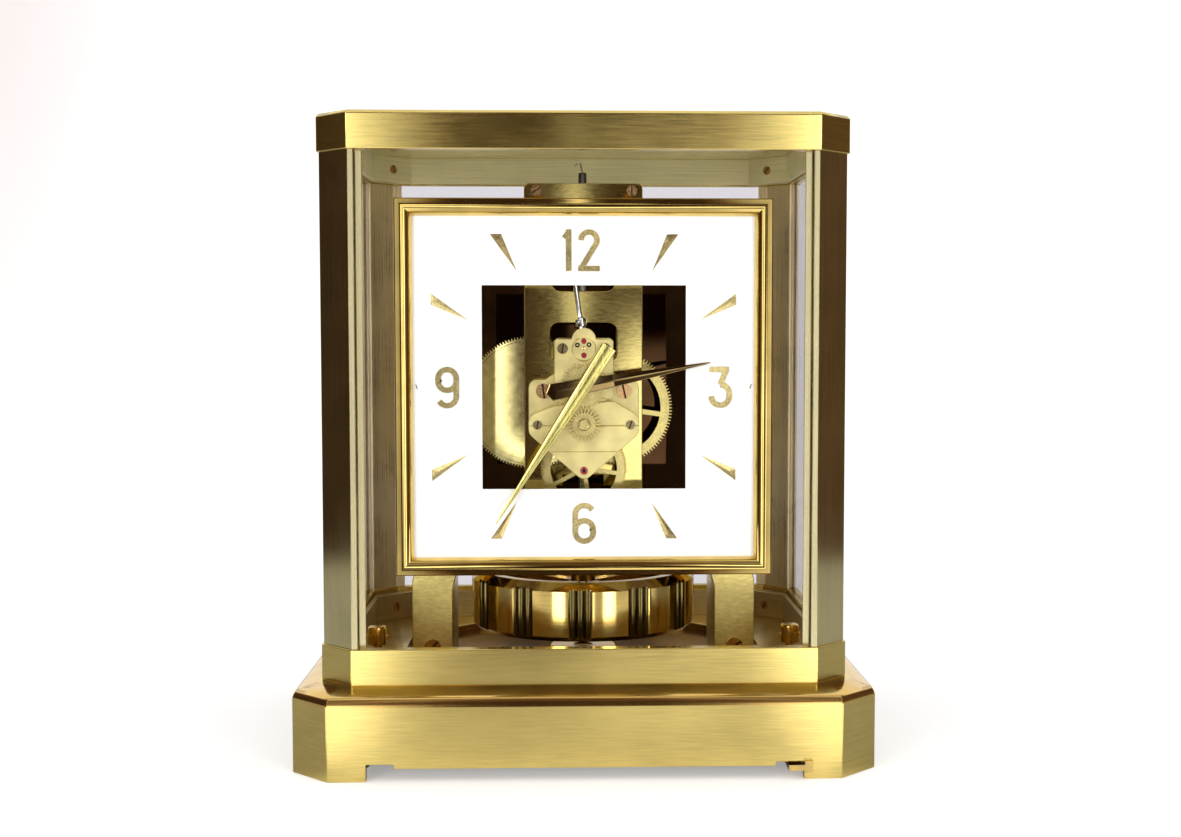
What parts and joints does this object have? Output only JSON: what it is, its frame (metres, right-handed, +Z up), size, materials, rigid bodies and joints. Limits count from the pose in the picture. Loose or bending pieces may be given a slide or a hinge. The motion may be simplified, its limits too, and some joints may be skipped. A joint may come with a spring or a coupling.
{
  "type": "atmospheric clock",
  "caption": "Octagonal glazed brass mantel clock with a square dial, a torsion pendulum hung on a wire and an aneroid drum that winds it.",
  "frame": {"origin": "centre of the plinth's footprint, on the surface that it stands on", "axes": "+Z up along the pendulum's axis, the dial faces -Y, +X to the right as seen from the front"},
  "size_m": [0.209, 0.1668, 0.2341],
  "materials": {
    "brushed_brass": "finely brushed and lacquered brass",
    "polished_brass": "mirror-polished gilt brass",
    "satin_brass": "satin-turned brass",
    "pale_brass": "pale gilt brass",
    "copper_gilt": "reddish gilt brass",
    "steel": "polished steel",
    "dark_steel": "darkened steel",
    "glass": "clear flat glass",
    "white_lacquer": "satin white lacquer"
  },
  "bodies": {
    "clock_case": {"base_plinth": "brushed_brass", "platform_plate": "brushed_brass", "case_bottom_frame": "brushed_brass", "top_cap": "brushed_brass", "post_front_left": "brushed_brass", "post_front_right": "brushed_brass", "post_rear_left": "brushed_brass", "post_rear_right": "brushed_brass", "main_frame": "brushed_brass", "suspension_bridge": "brushed_brass", "back_bridge": "brushed_brass", "drum_cover": "brushed_brass", "lower_inner_ring": "polished_brass", "upper_inner_ring": "polished_brass", "dial_bezel": "polished_brass", "numeral_12_first": "polished_brass", "numeral_12_second": "polished_brass", "numeral_3": "polished_brass", "numeral_6": "polished_brass", "numeral_9": "polished_brass", "bellows_drum": "polished_brass", "bellows_capsule": "satin_brass", "movement_plate": "pale_brass", "upper_bridge": "pale_brass", "lower_bridge": "pale_brass", "case_nut_left": "copper_gilt", "case_nut_right": "copper_gilt", "leg_screw_left": "copper_gilt", "leg_screw_right": "copper_gilt", "movement_screw_left": "copper_gilt", "movement_screw_right": "copper_gilt", "suspension_wire": "steel", "expansion_spring": "steel", "winding_chain": "steel", "suspension_clamp": "dark_steel", "left_glass": "glass", "right_glass": "glass", "back_glass": "glass", "dial_plate": "white_lacquer"},
    "torsion_pendulum": {"pendulum": "satin_brass", "suspension_tube": "steel"},
    "minute_work": {"centre_arbor": "steel", "minute_hand": "polished_brass"},
    "hour_work": {"hour_wheel": "pale_brass", "hour_hand": "polished_brass"},
    "minute_wheel_body": {"minute_wheel": "pale_brass"},
    "third_wheel_body": {"third_wheel": "pale_brass"},
    "great_wheel_body": {"great_wheel": "pale_brass"},
    "barrel_body": {"mainspring_barrel": "pale_brass"},
    "escape_wheel_body": {"escape_wheel": "pale_brass"},
    "pallet_lever_body": {"pallet_lever": "steel"},
    "winding_arbor_body": {"winding_arbor": "steel"},
    "guide_pulley_body": {"guide_pulley": "pale_brass"},
    "thrust_plate_body": {"thrust_plate": "steel"},
    "lock_lever_body": {"lock_lever": "polished_brass"},
    "lock_plunger_body": {"lock_plunger": "polished_brass"},
    "left_levelling_disc": {"levelling_disc_left": "polished_brass"},
    "right_levelling_disc": {"levelling_disc_right": "polished_brass"},
    "left_levelling_foot": {"levelling_foot_left": "steel"},
    "right_levelling_foot": {"levelling_foot_right": "steel"}
  },
  "joints": [
    {"name": "pendulum_turn", "type": "hinge", "parent": "clock_case", "child": "torsion_pendulum", "pos_m": [0, 0, 0.05], "axis": [0, 0, 1], "range_deg": [-270, 270]},
    {"name": "minute_hand_turn", "type": "hinge", "parent": "clock_case", "child": "minute_work", "pos_m": [0, 0, 0.1371], "axis": [0, 1, 0], "continuous": true},
    {"name": "hour_hand_turn", "type": "hinge", "parent": "clock_case", "child": "hour_work", "pos_m": [0, 0, 0.1371], "axis": [0, 1, 0], "continuous": true},
    {"name": "minute_wheel_turn", "type": "hinge", "parent": "clock_case", "child": "minute_wheel_body", "pos_m": [0, 0, 0.1228], "axis": [0, 1, 0], "continuous": true},
    {"name": "third_wheel_turn", "type": "hinge", "parent": "clock_case", "child": "third_wheel_body", "pos_m": [0, 0, 0.1054], "axis": [0, 1, 0], "continuous": true},
    {"name": "great_wheel_turn", "type": "hinge", "parent": "clock_case", "child": "great_wheel_body", "pos_m": [0.0126, 0, 0.1275], "axis": [0, 1, 0], "continuous": true},
    {"name": "barrel_turn", "type": "hinge", "parent": "clock_case", "child": "barrel_body", "pos_m": [-0.0202, 0, 0.1301], "axis": [0, 1, 0], "continuous": true},
    {"name": "escape_wheel_turn", "type": "hinge", "parent": "clock_case", "child": "escape_wheel_body", "pos_m": [0, 0, 0.1484], "axis": [0, 1, 0], "continuous": true},
    {"name": "pallet_lever_swing", "type": "hinge", "parent": "clock_case", "child": "pallet_lever_body", "pos_m": [0, 0, 0.1536], "axis": [0, 1, 0], "range_deg": [0, 16.4]},
    {"name": "bellows_stroke", "type": "slide", "parent": "clock_case", "child": "thrust_plate_body", "axis": [0, 1, 0], "range_m": [-0.002, 0], "deforming": ["expansion_spring", "bellows_capsule", "winding_chain"]},
    {"name": "winding_arbor_turn", "type": "hinge", "parent": "clock_case", "child": "winding_arbor_body", "pos_m": [-0.0202, 0, 0.1301], "axis": [0, 1, 0], "range_deg": [0, 23]},
    {"name": "guide_pulley_turn", "type": "hinge", "parent": "clock_case", "child": "guide_pulley_body", "pos_m": [-0.0152, -0.0001, 0.15], "axis": [1, 0, 0], "range_deg": [0, 29]},
    {"name": "lock_lever_swing", "type": "hinge", "parent": "clock_case", "child": "lock_lever_body", "pos_m": [0.074, -0.03, 0.0044], "axis": [0, 0, 1], "range_deg": [-4.5, 0]},
    {"name": "lock_plunger_lift", "type": "slide", "parent": "clock_case", "child": "lock_plunger_body", "axis": [0, 0, 1], "range_m": [0, 0.0016]},
    {"name": "left_disc_turn", "type": "hinge", "parent": "clock_case", "child": "left_levelling_disc", "pos_m": [-0.084, -0.062, 0.0086], "axis": [0, 0, 1], "range_deg": [0, 1440]},
    {"name": "left_foot_slide", "type": "slide", "parent": "clock_case", "child": "left_levelling_foot", "axis": [0, 0, -1], "range_m": [0, 0.004]},
    {"name": "right_disc_turn", "type": "hinge", "parent": "clock_case", "child": "right_levelling_disc", "pos_m": [0.084, -0.062, 0.0086], "axis": [0, 0, 1], "range_deg": [0, 1440]},
    {"name": "right_foot_slide", "type": "slide", "parent": "clock_case", "child": "right_levelling_foot", "axis": [0, 0, -1], "range_m": [0, 0.004]}
  ],
  "couplings": [
    {"joint": "hour_hand_turn", "follows": "minute_hand_turn", "ratio": 0.083333},
    {"joint": "minute_wheel_turn", "follows": "minute_hand_turn", "ratio": -0.11667},
    {"joint": "third_wheel_turn", "follows": "minute_hand_turn", "ratio": 0.01037},
    {"joint": "great_wheel_turn", "follows": "minute_hand_turn", "ratio": -0.0017912},
    {"joint": "barrel_turn", "follows": "minute_hand_turn", "ratio": 0.00055728},
    {"joint": "escape_wheel_turn", "follows": "minute_hand_turn", "ratio": -4},
    {"joint": "winding_arbor_turn", "follows": "bellows_stroke", "rad_per_m": -200},
    {"joint": "guide_pulley_turn", "follows": "bellows_stroke", "rad_per_m": -250},
    {"joint": "lock_plunger_lift", "follows": "lock_lever_swing", "m_per_rad": -0.020372},
    {"joint": "left_foot_slide", "follows": "left_disc_turn", "m_per_rad": 0.00015915},
    {"joint": "right_foot_slide", "follows": "right_disc_turn", "m_per_rad": 0.00015915}
  ]
}
